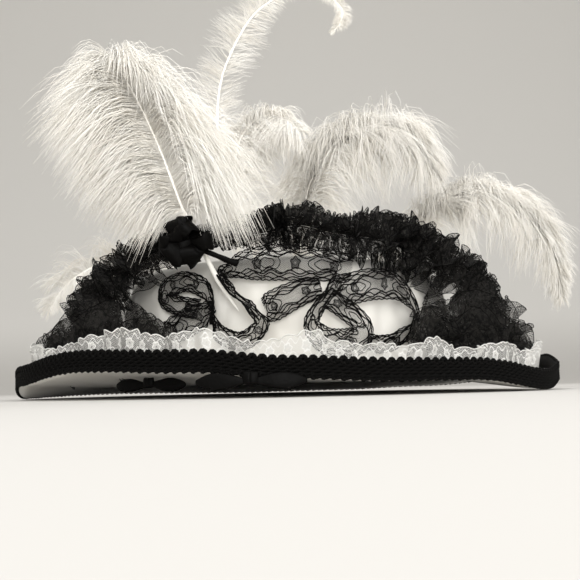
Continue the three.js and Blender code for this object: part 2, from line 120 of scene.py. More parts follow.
class Finish:
    """A material of one Principled shader, and the maker of its other nodes."""

    def __init__(self, name, colour, roughness, **plain):
        self.material = bpy.data.materials.new(name)
        self.material.use_nodes = True
        self.tree = self.material.node_tree
        self.shader = self.tree.nodes["Principled BSDF"]
        self.shader.inputs["Base Color"].default_value = (*colour, 1)
        self.shader.inputs["Roughness"].default_value = roughness
        for key, value in plain.items():
            self.shader.inputs[key.replace("_", " ")].default_value = value

    def add(self, kind, *values, output=0, **settings):
        """Makes a node from its settings and its inputs, wires or numbers, in order. None skips one."""
        node = self.tree.nodes.new(kind)
        for key, value in settings.items():
            setattr(node, key, value)
        for socket, value in zip(node.inputs, values):
            self.plug(socket, value)
        return Wire(self, node.outputs[output])

    def plug(self, socket, value):
        if isinstance(value, Wire):
            self.tree.links.new(value.socket, socket)
        elif value is not None:
            socket.default_value = value

    def feed(self, name, wire):
        self.plug(self.shader.inputs[name], wire)

    def place(self):
        return self.add("ShaderNodeTexCoord", output=3)

    def noise(self, scale, detail=2.0, rough=0.5):
        return self.add("ShaderNodeTexNoise", self.place(), None, scale, detail, rough)

    def map(self):
        """The UV map's two wires: metres along and across a cloth, or along and round a strand; on a
        plume's barbs the second carries their painted shade.
        """
        split = self.add("ShaderNodeSeparateXYZ", self.add("ShaderNodeUVMap"))
        return split, Wire(self, split.socket.node.outputs[1])

    def blend(self, factor, one, other):
        """Mixes two colours by a wire."""
        node = self.tree.nodes.new("ShaderNodeMix")
        node.data_type = "RGBA"
        self.plug(node.inputs[0], factor)
        self.plug(node.inputs[6], one if isinstance(one, Wire) else (*one, 1))
        self.plug(node.inputs[7], other if isinstance(other, Wire) else (*other, 1))
        return Wire(self, node.outputs[2])

    def bump(self, height, distance, strength=1.0):
        node = self.tree.nodes.new("ShaderNodeBump")
        self.plug(node.inputs["Strength"], strength)
        self.plug(node.inputs["Distance"], distance)
        self.plug(node.inputs["Height"], height)
        self.feed("Normal", Wire(self, node.outputs["Normal"]))


def new_object(name, shape, finish):
    """Links a smooth mesh object. A shape is points, a list of arrays of face corners, and UV or None."""
    points, faces, uv = shape
    corners = np.concatenate([group.ravel() for group in faces]).astype(np.int32)
    sizes = np.concatenate([np.full(len(group), group.shape[1]) for group in faces])
    mesh = bpy.data.meshes.new(name)
    mesh.vertices.add(len(points))
    mesh.vertices.foreach_set("co", np.asarray(points, np.float32).ravel())
    mesh.loops.add(len(corners))
    mesh.loops.foreach_set("vertex_index", corners)
    mesh.polygons.add(len(sizes))
    mesh.polygons.foreach_set("loop_start", (np.cumsum(sizes) - sizes).astype(np.int32))
    mesh.update(calc_edges=True)
    mesh.polygons.foreach_set("use_smooth", np.ones(len(sizes), bool))
    if uv is not None:
        layer = mesh.uv_layers.new(name="UVMap")
        layer.data.foreach_set("uv", np.asarray(uv, np.float32)[corners].ravel())
    mesh.materials.append(finish.material)
    mesh.validate()
    made = bpy.data.objects.new(name, mesh)
    bpy.context.scene.collection.objects.link(made)
    return made


def grid_faces(rows, columns, ring_rows=False, ring_columns=False):
    """Corners of the four-sided faces of a grid of points. A ring closes on itself."""
    row, column = np.meshgrid(
        np.arange(rows if ring_rows else rows - 1), np.arange(columns if ring_columns else columns - 1),
        indexing="ij")
    below = (row + 1) % rows
    beside = (column + 1) % columns
    corners = [(row, column), (row, beside), (below, beside), (below, column)]
    return np.stack([down * columns + across for down, across in corners], -1).reshape(-1, 4)


FLOOR_HALF = 7.0
FLOOR_FRONT = -7.0
WALL_BACK = 3.6
WALL_CURVE = 2.0
WALL_HEIGHT = 4.0
CURVE_STEPS = 14
floor_finish = Finish("studio_floor", (0.54, 0.525, 0.50), 0.9)
floor_height = floor_finish.add("ShaderNodeSeparateXYZ", floor_finish.place(), output=2)
floor_finish.feed("Base Color", floor_finish.blend(
    floor_height.eased(0.0, 0.3), (0.54, 0.525, 0.50), (0.76, 0.745, 0.715)))
bend = np.radians(np.linspace(0, 90, CURVE_STEPS))
floor_run = np.concatenate([
    [(FLOOR_FRONT, 0)],
    np.stack([WALL_BACK - WALL_CURVE + WALL_CURVE * np.sin(bend), WALL_CURVE * (1 - np.cos(bend))], 1),
    [(WALL_BACK, WALL_HEIGHT)],
])
floor_points = [(x, y, z) for y, z in floor_run for x in (-FLOOR_HALF, FLOOR_HALF)]
new_object("studio_floor", (floor_points, [grid_faces(len(floor_run), 2)], None), floor_finish)

world = bpy.data.worlds.new("studio")
bpy.context.scene.world = world
world.use_nodes = True
world.node_tree.nodes["Background"].inputs["Color"].default_value = (1.0, 0.98, 0.94, 1)
world.node_tree.nodes["Background"].inputs["Strength"].default_value = 0.6
bpy.context.scene.view_settings.view_transform = "Standard"

LIGHTS = {
    # name: place, aim and side in metres, watts
    "key": ((-1.0, -1.2, 1.8), (0.0, 0.0, 0.15), 1.2, 27),
    "fill": ((1.4, -1.1, 1.0), (0.0, 0.0, 0.15), 1.4, 21),
    "low": ((0.2, -2.2, 0.30), (0.0, 0.0, 0.05), 1.0, 31),
    "rear": ((0.3, 1.0, 1.5), (0.0, 0.0, 0.2), 1.0, 8),
}
for name, (place, aim, side, watts) in LIGHTS.items():
    lamp_data = bpy.data.lights.new(name, "AREA")
    lamp_data.size = side
    lamp_data.energy = watts
    lamp = bpy.data.objects.new(name, lamp_data)
    bpy.context.scene.collection.objects.link(lamp)
    lamp.location = HAT + place
    lamp.rotation_euler = (Vector(aim) - Vector(place)).to_track_quat("-Z", "Y").to_euler()


# Brim. White satin drawn over a stiffened ground, level round the oval head opening and wavy at its rim.
# The satin is smooth, with a few shallow pulls that run out from the crown.
HEAD_HALF_WIDTH = 82 * MM
HEAD_HALF_LENGTH = 98 * MM
BRIM_RADIUS = 263 * MM
BRIM_THICKNESS = 2.4 * MM
BRIM_LEVEL = 11 * MM
LEVEL_RADIUS = 178 * MM
RIM_DROP = 1.5 * MM
# degrees from +X towards the back, and the height of the rim's lower edge in mm
RIM_WAVE = np.array([
    (0, 17), (25, 9), (50, 4), (75, 1), (100, 0), (140, 2), (182, 0), (207, 12),
    (232, 21), (255, 18), (270, 12), (288, 9), (302, 9), (327, 0), (343, 8), (360, 17),
], float)


def table_read(table, at):
    """Reads the second column of a table at places of its first, eased between rows."""
    row = np.clip(np.searchsorted(table[:, 0], at, side="right") - 1, 0, len(table) - 2)
    share = (at - table[row, 0]) / (table[row + 1, 0] - table[row, 0])
    return table[row, 1] + (table[row + 1, 1] - table[row, 1]) * (1 - np.cos(np.pi * share)) / 2


def rim_low(degrees):
    return table_read(RIM_WAVE, np.mod(degrees, 360)) * MM


def underside(radius, degrees):
    """Height of the brim's underside."""
    share = np.clip((radius - LEVEL_RADIUS) / (BRIM_RADIUS - LEVEL_RADIUS), 0, 1)
    return BRIM_LEVEL + (rim_low(degrees) + RIM_DROP - BRIM_LEVEL) * share * share * (3 - 2 * share)


def wander(at, waves, seed):
    """A smooth random run of about -1 to 1 over places from 0 to 1, the same at both ends."""
    rng = np.random.default_rng(seed)
    total = np.zeros_like(np.asarray(at, float))
    for _ in range(7):
        turns = rng.integers(max(1, waves // 2), waves * 3 // 2 + 2)
        total = total + rng.uniform(0.4, 1) * np.sin(2 * np.pi * (turns * at + rng.uniform()))
    return total / 2.6


def outward(made):
    """Turns the faces of a closed mesh out."""
    shape = bmesh.new()
    shape.from_mesh(made.data)
    bmesh.ops.recalc_face_normals(shape, faces=shape.faces)
    shape.to_mesh(made.data)
    shape.free()
    return made


satin = Finish("white_satin", (0.74, 0.72, 0.67), 0.4, Sheen_Weight=0.2, Sheen_Roughness=0.4)
satin_cloud = satin.noise(11.0, 3.0)
satin_slub = satin.add("ShaderNodeTexWave", satin.place(), 420.0, 6.0, 2.0, bands_direction="Z")
satin.feed("Base Color", satin.blend(satin_cloud.eased(0.3, 0.7), (0.62, 0.595, 0.54), (0.71, 0.69, 0.64)))
satin.feed("Roughness", satin.noise(55.0, 3.0) * 0.2 + 0.30)
satin.bump(satin_cloud + satin_slub * 0.06 + satin.noise(160.0, 2.0) * 0.12, 1.5 * MM, 0.5)

BRIM_AROUND = 360
BRIM_RINGS = 18
BRIM_PULL = 0.5 * MM
brim_turn = np.linspace(0, 2 * np.pi, BRIM_AROUND, endpoint=False)


def brim_ring(share, lift):
    """One ring of the brim from the head opening, share 0, to the rim, share 1."""
    half_width = HEAD_HALF_WIDTH + (BRIM_RADIUS - HEAD_HALF_WIDTH) * share
    half_length = HEAD_HALF_LENGTH + (BRIM_RADIUS - HEAD_HALF_LENGTH) * share
    x = half_width * np.cos(brim_turn)
    y = half_length * np.sin(brim_turn)
    pulls = BRIM_PULL * np.sin(np.pi * share) * wander(brim_turn / (2 * np.pi), 26, 3)
    return np.stack([x, y, underside(np.hypot(x, y), np.degrees(brim_turn)) + lift + pulls], 1) + HAT


brim_shares = np.linspace(0, 1, BRIM_RINGS)
brim_rings = [brim_ring(share, BRIM_THICKNESS) for share in brim_shares]
brim_rings += [brim_ring(share, 0.0) for share in brim_shares[::-1]]
brim_faces = grid_faces(len(brim_rings), BRIM_AROUND, True, True)
brim = outward(new_object("satin_brim", (np.vstack(brim_rings), [brim_faces], None), satin))
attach(brim, "root")
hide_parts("brim")

# Crown. A wide, low, hollow drum of the same satin, eased onto its form so that it hangs in soft upright
# folds, with a few deeper ones at the front. It is sewn down to the brim round its foot.
CROWN_HALF_WIDTH = 168 * MM
CROWN_HALF_LENGTH = 160 * MM
CROWN_FOOT = BRIM_LEVEL + BRIM_THICKNESS + 0.3 * MM
CROWN_WALL = 2 * MM
CROWN_AROUND = 340
CROWN_RINGS = 28
CROWN_TALL = 114
CROWN_TURN = 90
# mm over the crown's foot, and the share of its half width there
CROWN_PROFILE = np.array(
    [(0, 1), (40, 0.985), (75, 0.965), (95, 0.93), (106, 0.86), (112, 0.7), (114, 0.42), (114.2, 0.01)])
CROWN_FOLDS = 9
CROWN_FOLD = 1.5 * MM
CROWN_CREASE = 1.1 * MM
# degrees round from +X towards the back, width in degrees and depth in mm of the deeper folds
CROWN_TUCKS = [
    (243, 2.2, 2.6), (251, 1.5, 1.5), (263, 2.6, 2.4), (274, 1.6, 1.3), (284, 2.4, 2.2), (301, 2, 1.8),
    (40, 3, 2), (75, 2.5, 2), (118, 3, 2.2), (150, 2.5, 2), (190, 2.5, 2),
]


def crown_ring(up, share, inset, drop):
    turn = np.linspace(0, 2 * np.pi, CROWN_AROUND, endpoint=False)
    swell = math.sin(math.pi * min(up / CROWN_TALL, 1))
    folds = CROWN_FOLD * swell * np.cos(CROWN_FOLDS * turn)
    folds += CROWN_CREASE * (0.25 + 0.75 * swell) * wander(turn / (2 * np.pi) + 0.0006 * up, 34, 8)
    for middle, width, depth in CROWN_TUCKS:
        away = np.degrees(turn) - middle - 0.05 * (up - 50)
        folds -= depth * MM * (0.3 + 0.7 * swell) * np.exp(-(away / width) ** 2)
    near_top = min(1, share * 3)
    x = (CROWN_HALF_WIDTH * share + (folds - inset) * near_top) * np.cos(turn)
    y = (CROWN_HALF_LENGTH * share + (folds - inset) * near_top) * np.sin(turn)
    pucker = 0.6 * MM * share * wander(turn / (2 * np.pi), 20, 5) * (up > 105)
    return np.stack([x, y, CROWN_FOOT + up * MM - drop + pucker], 1) + HAT


def fan_faces(centre, ring):
    """Triangles from one point to a ring of points."""
    return np.stack([np.full(len(ring), centre), ring, np.roll(ring, -1)], 1)


profile = CROWN_PROFILE * (1, CROWN_HALF_WIDTH / MM)
profile_run = np.cumsum(np.hypot(*np.diff(profile, axis=0, prepend=profile[:1]).T))
profile_at = np.linspace(0, profile_run[-1], CROWN_RINGS)
crown_outline = np.stack([np.interp(profile_at, profile_run, column) for column in CROWN_PROFILE.T], 1)
crown_rings = [crown_ring(up, share, 0.0, 0.0) for up, share in crown_outline[::-1]]
for up, share in crown_outline:
    crown_rings.append(crown_ring(up, share, CROWN_WALL, CROWN_WALL * (up > CROWN_TURN)))
crown_points = np.vstack(crown_rings + [crown_rings[0].mean(0), crown_rings[-1].mean(0)])
last_ring = (len(crown_rings) - 1) * CROWN_AROUND + np.arange(CROWN_AROUND)
crown = outward(new_object("satin_crown", (crown_points, [
    grid_faces(len(crown_rings), CROWN_AROUND, ring_columns=True),
    fan_faces(len(crown_points) - 2, np.arange(CROWN_AROUND)),
    fan_faces(len(crown_points) - 1, last_ring),
], None), satin))
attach(crown, "root")
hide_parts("crown")

# Gimp braid. Black cord worked into a flat braid with a row of loops along each edge and twisted cords
# between them, stood on edge round the rim and sewn to it.
BRAID_HEIGHT = 19 * MM
BRAID_MIDDLE = BRIM_RADIUS + 1.9 * MM
LOOP_PITCH = 7.4 * MM
LOOP_RADIUS = 2.0 * MM
LOOP_CORD = 1.7 * MM
LOOP_TWIST = 0.15
LOOP_STEPS = 9
LOOP_SIDES = 6
BRAID_CORD = 1.35 * MM
# height over the rim's low edge in mm, and where along the pitch its wave starts
BRAID_CORDS = [(2.5, 0.2), (4.8, 0.0), (7.1, 0.37), (9.4, 0.71), (11.7, 0.13), (14.0, 0.5)]
BRAID_CORD_STEPS = 1000
BRAID_WAVE = (0.35 * MM, 0.5 * MM)
BRAID_TAPE = [(-2.0, 1.6), (-0.9, 1.6), (-0.9, 16.6), (-2.0, 16.6)]

gimp = Finish("gimp_cord", (0.003, 0.0028, 0.0025), 0.7, Specular_IOR_Level=0.06)
along_gimp, round_gimp = gimp.map()
gimp_twist_and_painted_highlight = (along_gimp / (1.3 * MM) + round_gimp * 2.0).wave()
# Painted highlight and shade: the colour is lighter on the twist's ridges and darker in its grooves. The
# same twist stripes also drive the bump.
gimp.feed("Base Color", gimp.blend(
    gimp_twist_and_painted_highlight.eased(-0.6, 0.9), (0.0004, 0.0004, 0.0003), (0.0065, 0.006, 0.0055)))
gimp.bump(gimp_twist_and_painted_highlight * 0.5 + gimp.noise(900.0, 2.0) * 0.4, 0.5 * MM, 0.9)


def unit(vectors):
    return vectors / np.maximum(np.linalg.norm(vectors, axis=-1, keepdims=True), 1e-9)


def tubes(paths, radii, sides, closed=False, up=(0.13, 0.21, 0.97)):
    """The shape of round strands, capped or closed on themselves. paths is strands by steps by 3."""
    strands, steps = paths.shape[:2]
    if closed:
        ahead = np.roll(paths, -1, 1) - np.roll(paths, 1, 1)
    else:
        ahead = np.gradient(paths, axis=1)
    ahead = unit(ahead)
    side = unit(np.cross(ahead, np.broadcast_to(up, ahead.shape)))
    top = np.cross(side, ahead)
    turn = 2 * np.pi * np.arange(sides) / sides
    reach = np.broadcast_to(radii, (strands, steps))[..., None, None]
    ring = side[..., None, :] * np.cos(turn)[:, None] + top[..., None, :] * np.sin(turn)[:, None]
    points = paths[..., None, :] + reach * ring
    start = (np.arange(strands) * steps * sides)[:, None, None]
    faces = [(grid_faces(steps, sides, closed, True)[None, :, ::-1] + start).reshape(-1, 4)]
    if not closed:
        caps = np.stack([np.arange(sides), (steps - 1) * sides + np.arange(sides)[::-1]])
        faces.append((caps[None] + start).reshape(-1, sides))
    run = np.cumsum(np.linalg.norm(np.diff(paths, axis=1, prepend=paths[:, :1]), axis=2), 1)
    uv = np.stack(np.broadcast_arrays(run[..., None], turn / (2 * np.pi)), -1).reshape(-1, 2)
    return points.reshape(-1, 3), faces, uv


def joined(shapes):
    """Several shapes as one."""
    faces = {}
    start = 0
    for points, groups, _ in shapes:
        for group in groups:
            faces.setdefault(group.shape[1], []).append(group + start)
        start += len(points)
    return (np.vstack([shape[0] for shape in shapes]), [np.vstack(groups) for groups in faces.values()],
            np.vstack([shape[2] for shape in shapes]))


class Growth:
    """A Geometry Nodes tree, built node by node, run on an object and left there as a plain mesh."""

    def __init__(self, name, **sizes):
        self.tree = bpy.data.node_groups.new(name, "GeometryNodeTree")
        self.tree.interface.new_socket("Geometry", in_out="INPUT", socket_type="NodeSocketGeometry")
        self.tree.interface.new_socket("Geometry", in_out="OUTPUT", socket_type="NodeSocketGeometry")
        self.identifiers = {
            title: self.tree.interface.new_socket(title, in_out="INPUT", socket_type=kind).identifier
            for title, kind in sizes.items()
        }
        self.entry = self.tree.nodes.new("NodeGroupInput").outputs
        self.end = self.tree.nodes.new("NodeGroupOutput")

    def add(self, kind, settings=None, **inputs):
        """Makes a node from its type, its settings, and its inputs by name, with _ for a space."""
        node = self.tree.nodes.new(kind)
        for key, value in (settings or {}).items():
            setattr(node, key, value)
        for key, value in inputs.items():
            self.plug(node.inputs[key.replace("_", " ")], value)
        return node

    def plug(self, socket, value):
        if isinstance(value, bpy.types.NodeSocket):
            self.tree.links.new(value, socket)
        else:
            socket.default_value = value

    def grow(self, base, finish, geometry, **values):
        """Ends the tree, runs it on base with these input values, and leaves base as the plain mesh."""
        real = self.add("GeometryNodeRealizeInstances", Geometry=geometry)
        dyed = self.add("GeometryNodeSetMaterial", Geometry=real.outputs[0], Material=finish.material)
        self.tree.links.new(dyed.outputs[0], self.end.inputs[0])
        modifier = base.modifiers.new("growth", "NODES")
        modifier.node_group = self.tree
        for title, value in values.items():
            modifier[self.identifiers[title]] = value
        grown = bpy.data.meshes.new_from_object(base.evaluated_get(bpy.context.evaluated_depsgraph_get()))
        base.modifiers.clear()
        base.data = grown
        return base


def on_rim(radius, turn, lift):
    """Points round the rim at turns from 0 to 1, lift above its lower edge."""
    angle = 2 * np.pi * turn
    return np.stack([radius * np.cos(angle), radius * np.sin(angle), rim_low(360 * turn) + lift], -1) + HAT


def rim_loops(name, lift, least, most):
    """A row of cord loops along the rim, small rings that stand on edge, of sizes least to most."""
    turn = np.linspace(0, 2 * np.pi, LOOP_STEPS, endpoint=False)
    ring = LOOP_RADIUS * np.stack([np.cos(turn), LOOP_TWIST * np.sin(2 * turn), np.sin(turn)], 1)
    cord = tubes(ring[None], LOOP_CORD, LOOP_SIDES, closed=True, up=(0.02, 1, 0.02))
    loop = new_object(name + "_one", cord, gimp)
    path = on_rim(BRAID_MIDDLE, np.linspace(0, 1, BRIM_AROUND, endpoint=False), lift)
    mesh = bpy.data.meshes.new(name)
    edges = [(index, (index + 1) % BRIM_AROUND) for index in range(BRIM_AROUND)]
    mesh.from_pydata(path.tolist(), edges, [])
    row = bpy.data.objects.new(name, mesh)
    bpy.context.scene.collection.objects.link(row)
    growth = Growth(name, Pitch="NodeSocketFloat", Loop="NodeSocketObject")
    curve = growth.add("GeometryNodeMeshToCurve", Mesh=growth.entry["Geometry"])
    spots = growth.add("GeometryNodeCurveToPoints", {"mode": "LENGTH"}, Curve=curve.outputs[0],
                       Length=growth.entry["Pitch"])
    level = growth.add("FunctionNodeAlignRotationToVector", {"axis": "X"}, Vector=spots.outputs["Tangent"])
    upright = growth.add("FunctionNodeAlignRotationToVector", {"axis": "Z", "pivot_axis": "X"},
                         Rotation=level.outputs[0], Vector=(0.0, 0.0, 1.0))
    shape = growth.add("GeometryNodeObjectInfo", Object=growth.entry["Loop"])
    chance = growth.add("FunctionNodeRandomValue", {"data_type": "FLOAT"}, Seed=4)
    chance.inputs[2].default_value = least
    chance.inputs[3].default_value = most
    rows = growth.add(
        "GeometryNodeInstanceOnPoints", Points=spots.outputs["Points"], Rotation=upright.outputs[0],
        Instance=shape.outputs["Geometry"], Scale=chance.outputs[1])
    made = growth.grow(row, gimp, rows.outputs[0], Pitch=LOOP_PITCH, Loop=loop)
    bpy.data.objects.remove(loop)
    return made


braid_turn = np.linspace(0, 1, BRAID_CORD_STEPS, endpoint=False)
braid_lobes = round(2 * math.pi * BRAID_MIDDLE / LOOP_PITCH)
braid_shapes = []
for height, phase in BRAID_CORDS:
    swing = 2 * np.pi * (braid_lobes * braid_turn + phase)
    deep, high = BRAID_WAVE[0] * np.cos(swing), BRAID_WAVE[1] * np.sin(swing)
    path = on_rim(BRAID_MIDDLE + deep, braid_turn, height * MM + high)
    braid_shapes.append(tubes(path[None], BRAID_CORD, 5, closed=True))
braid_cords = new_object("gimp_cords", joined(braid_shapes), gimp)
tape_turn = np.linspace(0, 1, BRIM_AROUND, endpoint=False)
tape_rings = [on_rim(BRAID_MIDDLE + deep * MM, tape_turn, height * MM) for deep, height in BRAID_TAPE]
tape_faces = grid_faces(4, BRIM_AROUND, True, True)
tape_shape = (np.vstack(tape_rings), [tape_faces], np.zeros((4 * BRIM_AROUND, 2)))
braid_tape = outward(new_object("gimp_tape", tape_shape, gimp))
loops_high = rim_loops("gimp_loops_upper", BRAID_HEIGHT - LOOP_RADIUS - LOOP_CORD, 0.94, 1.08)
loops_low = rim_loops("gimp_loops_lower", (LOOP_RADIUS + LOOP_CORD) * 0.85, 0.7, 0.82)
for piece in (braid_cords, braid_tape, loops_high, loops_low):
    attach(piece, "root")
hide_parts("gimp_band")

# White lace edging. A band of machine lace, net with small flowers and a scalloped, corded edge, gathered
# by hand so that it stands up and flutters behind the braid.
WHITE_LACE_RADIUS = 247 * MM
WHITE_LACE_FOOT = BRIM_THICKNESS + 0.8 * MM
WHITE_LACE_STEPS = 1500
WHITE_LACE_ACROSS = 11
WHITE_LACE_SCALLOP = 11 * MM
WHITE_LACE_SCALLOP_HEIGHT = 2.2 * MM
WHITE_LACE_DEPTH = 4 * MM
WHITE_LACE_CORD = 0.45 * MM
# degrees round from +X towards the back, and the lace's height in mm
WHITE_LACE_HEIGHTS = np.array([
    (0, 25), (40, 27), (90, 24), (140, 28), (180, 29), (200, 34), (215, 24), (226, 23), (238, 30),
    (248, 25), (254, 29), (264, 22), (273, 31), (280, 25), (288, 22), (296, 27), (305, 21), (316, 30),
    (330, 28), (345, 30), (360, 25),
], float)

white_lace = Finish("white_lace", (0.80, 0.79, 0.75), 0.85)


def net(u, v, pitch, thread):
    """1 on the threads of a net with six-sided holes, 0 in the holes."""
    nearest = None
    for degrees in (0, 60, 120):
        turn = math.radians(degrees)
        along = u * (math.cos(turn) / pitch) + v * (math.sin(turn) / pitch)
        line = 0.5 - along.cell().size()
        nearest = line if nearest is None else nearest.smaller(line)
    return nearest < thread


def flowers(u, v, pitch, height, size, petals):
    """A row of flowers: 1 on their petals, and 1 on their corded outlines."""
    x = (u / pitch).cell() * pitch
    y = v - height
    reach = (x * x + y * y) ** 0.5
    turn = reach.maths("ARCTAN2", y, x)
    petal = (turn * petals).wave(1.0) * (0.13 * size) + 0.87 * size
    return (reach < petal) * (reach > 0.22 * size), (reach - petal).size() < 0.11 * size


def lace_look(finish, pitch, thread, weave, flower_rows, cord_lines):
    """Feeds Alpha with a net, rows of flowers and wavy cord lines, and returns the mask of the cords."""
    u, v = finish.map()
    threads = net(u, v, pitch, thread)
    fine = net(u, v, pitch * 0.45, weave)
    cords = None
    for flower_pitch, height, size, petals in flower_rows:
        inside, outline = flowers(u, v, flower_pitch, height, size, petals)
        threads = threads.larger(inside * fine)
        cords = outline if cords is None else cords.larger(outline)
    for height, swing, wavelength, width in cord_lines:
        cords = cords.larger((v - height - (u / wavelength).wave() * swing).size() < width)
    finish.feed("Alpha", threads.larger(cords))
    return cords


white_cords = lace_look(
    white_lace, 1.3 * MM, 0.09, 0.16, [(17 * MM, 19 * MM, 4.0 * MM, 6)],
    [(14 * MM, 2.6 * MM, 13 * MM, 0.45 * MM), (9 * MM, 2.2 * MM, 19 * MM, 0.4 * MM),
     (4 * MM, 1.4 * MM, 23 * MM, 0.35 * MM), (24 * MM, 1.6 * MM, 8 * MM, 0.4 * MM)])
white_lace.feed("Base Color", white_lace.blend(white_cords, (0.57, 0.56, 0.53), (0.70, 0.69, 0.66)))
white_lace.bump(white_cords, 0.4 * MM, 0.6)


def cloth(name, strips, finish, centred=False):
    """One object of all strips of a cloth, each rows along by columns across, with metres in its UV map.
    Returns it and the cloth's width."""
    shapes = []
    start = 0.0
    widest = 0.0
    for strip in strips:
        rows, columns = strip.shape[:2]
        run = np.linalg.norm(np.diff(strip, axis=0, prepend=strip[:1]), axis=2).max(1)
        along = start + np.cumsum(run)
        start = along[-1]
        width = np.linalg.norm(np.diff(strip, axis=1), axis=2).sum(1).mean()
        widest = max(widest, width)
        across = np.linspace(0, width, columns) - (width / 2 if centred else 0)
        uv = np.stack(np.meshgrid(along, across, indexing="ij"), -1).reshape(-1, 2)
        shapes.append((strip.reshape(-1, 3), [grid_faces(rows, columns)], uv))
    return new_object(name, joined(shapes), finish), widest


def flat_size(made, width):
    """The cloth's width and the length that its area gives."""
    areas = np.empty(len(made.data.polygons))
    made.data.polygons.foreach_get("area", areas)
    return float(width), float(areas.sum() / width)


lace_at = np.linspace(0, 1, WHITE_LACE_STEPS + 1)
lace_turn = 2 * np.pi * lace_at
lace_gather = wander(lace_at, 46, 21) + 0.35 * wander(lace_at, 110, 22)
lace_sway = wander(lace_at, 60, 23)
lace_height = table_read(WHITE_LACE_HEIGHTS, 360 * lace_at) * MM + 2.5 * MM * wander(lace_at, 30, 24)
lace_step = WHITE_LACE_RADIUS * np.gradient(lace_turn)
lace_run = np.cumsum(np.hypot(np.gradient(lace_gather) * WHITE_LACE_DEPTH, lace_step))
lace_scallop = WHITE_LACE_SCALLOP_HEIGHT * np.abs(np.sin(np.pi * lace_run / WHITE_LACE_SCALLOP))
lace_columns = []
for share in np.linspace(0, 1, WHITE_LACE_ACROSS):
    lean = (0.8 + 3.4 * share) * lace_gather + 5 * share ** 2 * lace_sway + 2 * share
    radius = WHITE_LACE_RADIUS + lean * MM
    height = underside(radius, 360 * lace_at) + WHITE_LACE_FOOT + share * lace_height
    height += share ** 6 * lace_scallop - 2 * MM * share ** 2 * np.abs(lace_sway)
    slide = lace_turn + share * 3.2 * MM / WHITE_LACE_RADIUS * lace_sway
    lace_columns.append(np.stack([radius * np.cos(slide), radius * np.sin(slide), height], 1) + HAT)
lace_strip = np.stack(lace_columns, 1)
white_frill, white_width = cloth("white_lace_frill", [lace_strip], white_lace)

white_cord = Finish("white_cord", (0.86, 0.85, 0.81), 0.8)
white_cord.bump((white_cord.map()[0] / (0.9 * MM)).wave(), 0.2 * MM)
white_edge = new_object(
    "white_lace_cord", tubes(lace_strip[None, :-1, -1], WHITE_LACE_CORD, 4, closed=True), white_cord)
for piece in (white_frill, white_edge):
    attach(piece, "root")
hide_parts("white_lace_edging")
flat_size(white_frill, white_width)

# Black lace ruffles. Lengths of black flowered lace, each gathered along one edge and sewn in several
# rows on one line, so that they open into thick bunches: two over the crown's front edge and two down
# each side.
RUFFLES = {
    # how far the lowest and the upper frills reach, as shares of the radius, and rows of x, y, z and
    # radius in mm
    "top_left": (0.6, 1.0, [
        (-112, -112, 137, 17), (-78, -128, 140, 13), (-40, -138, 140, 13), (-18, -141, 142, 19),
        (-4, -142, 144, 22)]),
    "top_right": (1.1, 1.0, [
        (-2, -142, 146, 15), (16, -141, 148, 19), (40, -138, 142, 15), (62, -133, 139, 21),
        (84, -126, 137, 27), (108, -114, 132, 26)]),
    "left_high": (1.3, 0.95, [
        (-114, -112, 136, 19), (-142, -95, 117, 24), (-174, -68, 98, 25), (-196, -34, 86, 18)]),
    "right_high": (1.5, 0.95, [
        (110, -114, 135, 22), (140, -96, 119, 26), (172, -70, 103, 24), (196, -38, 88, 15)]),
    "left_low": (0.8, 1.35, [
        (-212, -14, 34, 22), (-204, -56, 41, 28), (-176, -102, 44, 29), (-140, -140, 43, 28),
        (-118, -160, 36, 22)]),
    "right_low": (0.8, 1.4, [
        (208, -20, 34, 17), (204, -56, 42, 27), (180, -98, 45, 30), (146, -134, 44, 29),
        (122, -156, 38, 20)]),
}
RUFFLE_FRILLS = 10
RUFFLE_LOWEST = -85
RUFFLE_LAST = 160
RUFFLE_STEPS = 210
RUFFLE_ACROSS = 6
RUFFLE_GATHER = 16 * MM
RUFFLE_SCALLOP = 16 * MM
RUFFLE_CORD = 0.4 * MM
RUFFLE_PAST = 6 * MM
RUFFLE_SCALLOP_HEIGHT = 5.5 * MM
RUFFLE_DEPTH = 9 * MM
RUFFLE_SLIDE = 4 * MM
# how far a frill strays from its direction in degrees, and its gathers from side to side in radians
RUFFLE_STRAY = 27
RUFFLE_SWING = 0.42

black_lace = Finish("black_lace", (0.010, 0.009, 0.008), 0.85, Specular_IOR_Level=0.25)
black_cords = lace_look(
    black_lace, 1.4 * MM, 0.085, 0.2,
    [(13 * MM, 17 * MM, 5.2 * MM, 5), (13 * MM, 7 * MM, 3.6 * MM, 6)],
    [(12 * MM, 2.4 * MM, 13 * MM, 0.5 * MM), (0.7 * MM, 0.0, 9 * MM, 0.8 * MM)])
lace_crinkle_and_painted_glints = black_lace.noise(330.0, 3.0)
# Painted highlights: the net is a lighter grey, as if it caught the light, against near-black cords and
# crinkle spots. The crinkle noise also drives the bump.
black_lace.feed("Base Color", black_lace.blend(
    black_cords.larger(lace_crinkle_and_painted_glints.eased(0.44, 0.58)), (0.030, 0.028, 0.025), (0.002, 0.0018, 0.0016)))
black_lace.bump(black_cords + lace_crinkle_and_painted_glints * 1.6, 0.9 * MM, 1.0)


def table_curve(rows, count):
    """A smooth curve through a table's rows, read at even steps."""
    rows = np.array(rows, float)
    padded = np.vstack([rows[:1], rows, rows[-1:]])
    along = np.linspace(0, len(rows) - 1, count)
    start = np.minimum(along.astype(int), len(rows) - 2)
    share = (along - start)[:, None]
    before, one, two, after = (padded[start + shift] for shift in range(4))
    return 0.5 * (2 * one + (two - before) * share
                  + (2 * before - 5 * one + 4 * two - after) * share ** 2
                  + (3 * one - before - 3 * two + after) * share ** 3)


